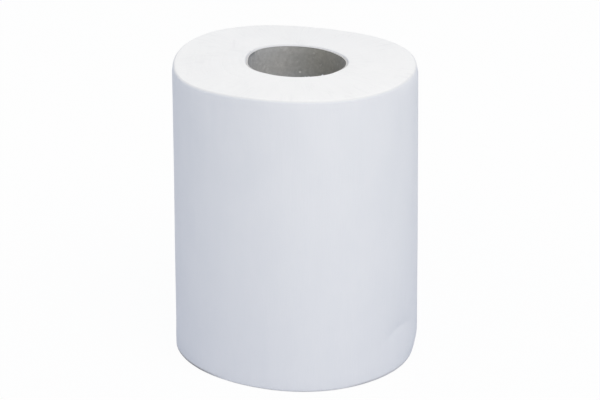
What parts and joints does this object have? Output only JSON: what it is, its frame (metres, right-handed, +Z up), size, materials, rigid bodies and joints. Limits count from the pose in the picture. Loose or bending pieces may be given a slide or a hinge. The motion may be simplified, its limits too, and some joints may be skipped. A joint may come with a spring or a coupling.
{
  "type": "paper towel roll",
  "caption": "Wide roll of white paper towel wound on a plain cardboard tube, standing on its end, with the tube open from end to end.",
  "frame": {"origin": "on the axis of the core, in the plane of the end that the roll stands on", "axes": "+Z up along the core's axis, -Y towards the viewer, +X to the viewer's right"},
  "size_m": [0.1747, 0.175, 0.21],
  "materials": {
    "paper": "matt white tissue, soft and uncoated",
    "core_board": "matt grey recycled board"
  },
  "bodies": {
    "root": {"wound_paper": "paper", "core": "core_board"}
  },
  "joints": []
}
